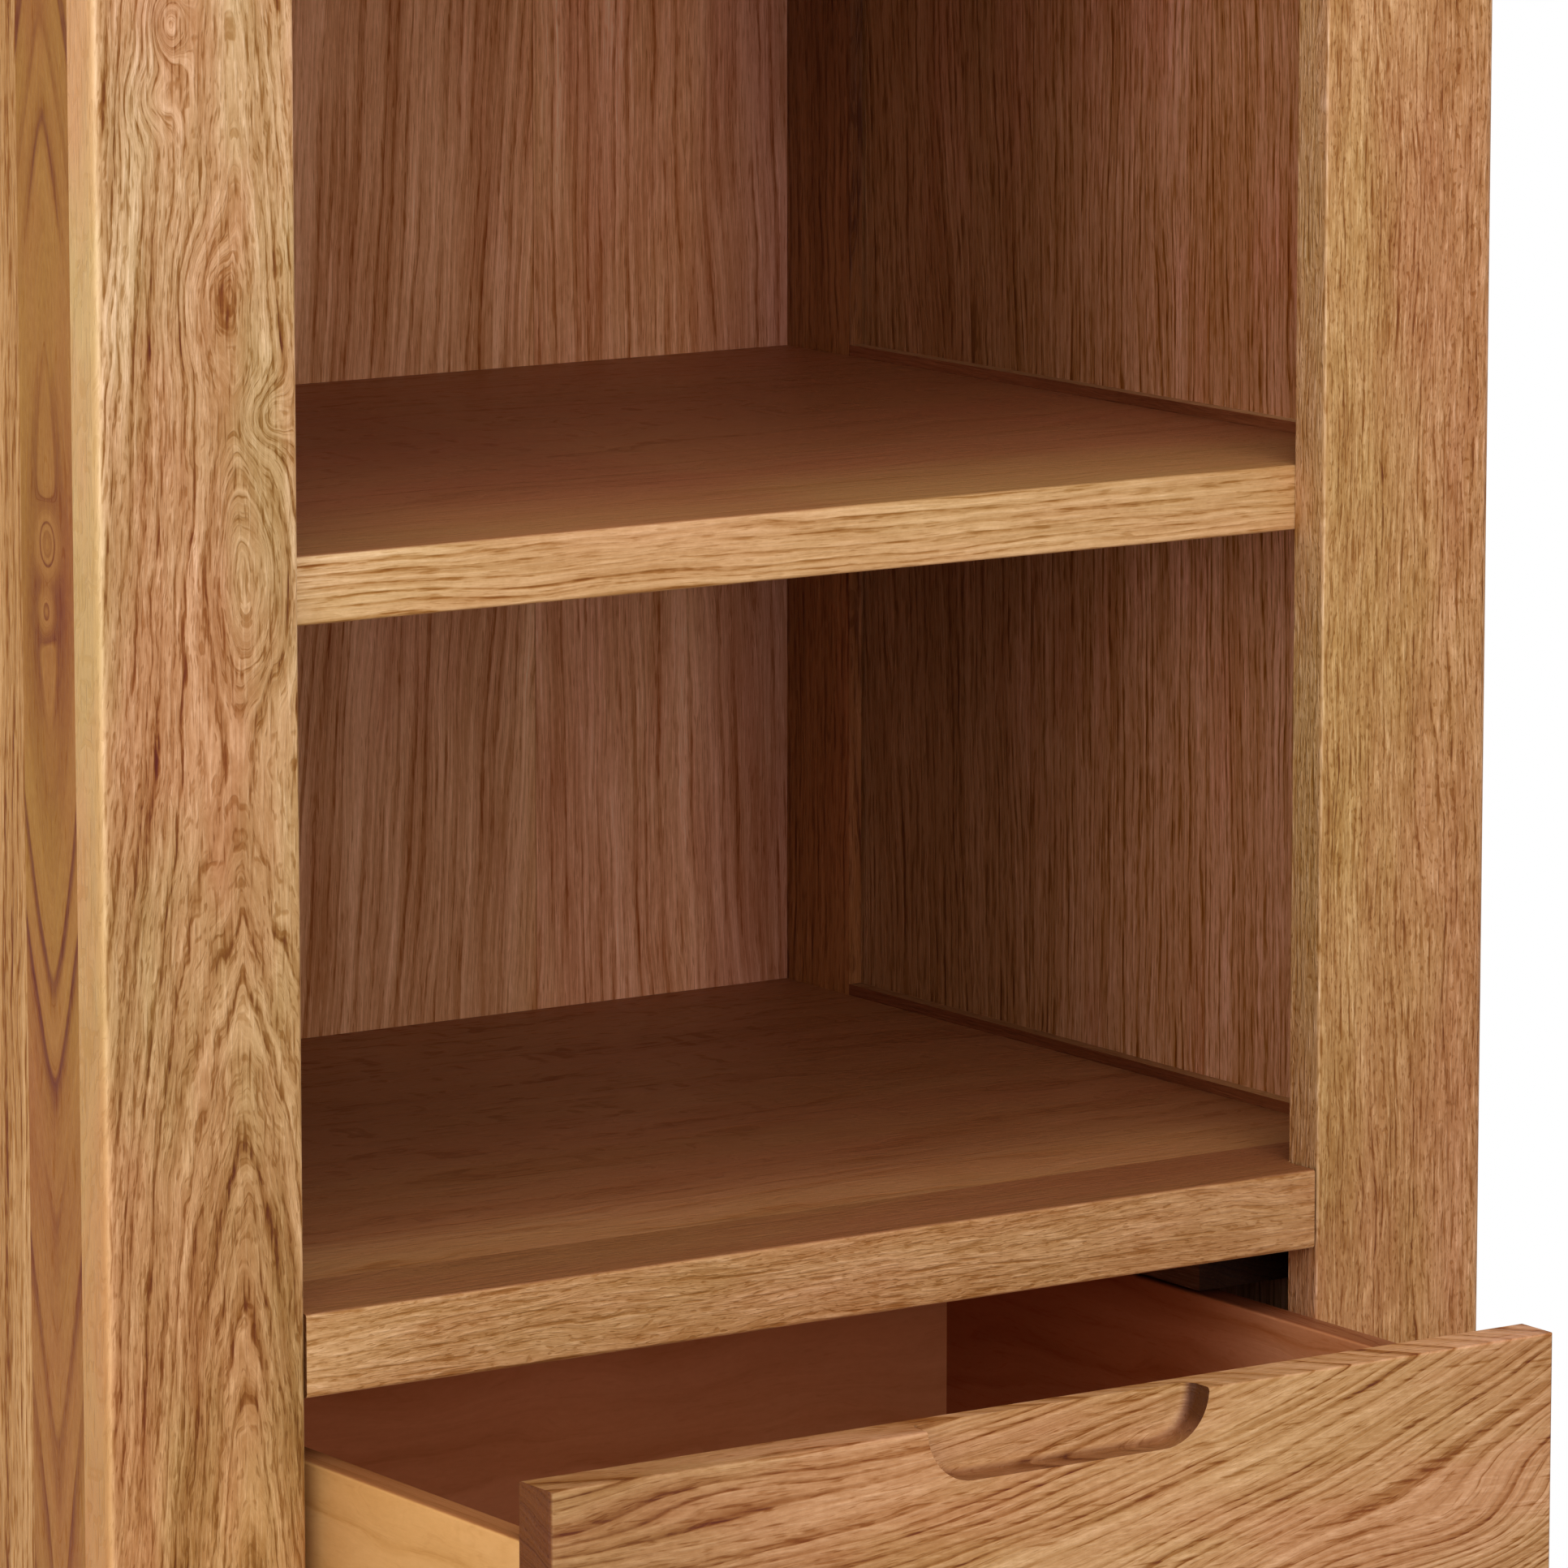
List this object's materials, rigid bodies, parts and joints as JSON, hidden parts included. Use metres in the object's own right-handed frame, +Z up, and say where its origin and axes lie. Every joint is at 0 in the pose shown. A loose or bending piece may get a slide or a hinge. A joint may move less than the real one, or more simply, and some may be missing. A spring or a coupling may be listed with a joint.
{
  "type": "pantry cabinet",
  "caption": "Tall open-fronted oak cabinet with a face frame, thick fixed shelves, panelled sides recessed inside, and an inset drawer with a routed finger scoop.",
  "frame": {"origin": "on the floor, under the middle of the whole footprint with the drawer as it stands, part way open", "axes": "+X to the right seen from the front, +Y from the front to the back, +Z up"},
  "size_m": [0.634, 0.601, 1.7575],
  "materials": {
    "oak_front": "satin lacquered light oak",
    "oak_side": "satin lacquered light oak",
    "oak_inside": "satin lacquered oak",
    "drawer_wood": "smooth lacquered blond wood",
    "screw_steel": "zinc plated",
    "glide_plastic": "matt"
  },
  "bodies": {
    "case": {"top_board": "oak_front", "face_stile_left": "oak_front", "face_stile_right": "oak_front", "top_face_rail": "oak_front", "bottom_face_rail": "oak_front", "drawer_rail": "oak_front", "side_stile_left": "oak_side", "side_stile_right": "oak_side", "rear_post_left": "oak_side", "rear_post_right": "oak_side", "side_panel_left": "oak_side", "side_panel_right": "oak_side", "side_battens_left": "oak_inside", "side_battens_right": "oak_inside", "compartment_floor": "oak_inside", "shelf_1": "oak_inside", "shelf_2": "oak_inside", "shelf_3": "oak_inside", "shelf_4": "oak_inside", "shelf_cleats": "oak_inside", "back_panel": "oak_inside", "rear_bottom_rail": "oak_inside", "top_stretchers": "oak_inside", "drawer_runners": "oak_inside", "drawer_guides": "oak_inside", "drawer_kickers": "oak_inside", "drawer_stops": "oak_inside", "cleat_screws": "screw_steel", "back_screws": "screw_steel", "top_screws": "screw_steel", "foot_glides": "glide_plastic"},
    "drawer": {"drawer_front": "oak_front", "drawer_side_left": "drawer_wood", "drawer_side_right": "drawer_wood", "drawer_back": "drawer_wood", "drawer_bottom": "drawer_wood", "drawer_dowels": "drawer_wood", "drawer_bottom_screws": "screw_steel"}
  },
  "joints": [
    {"name": "drawer_slide", "type": "slide", "parent": "case", "child": "drawer", "axis": [0, -1, 0], "range_m": [-0.152, 0.13]}
  ]
}
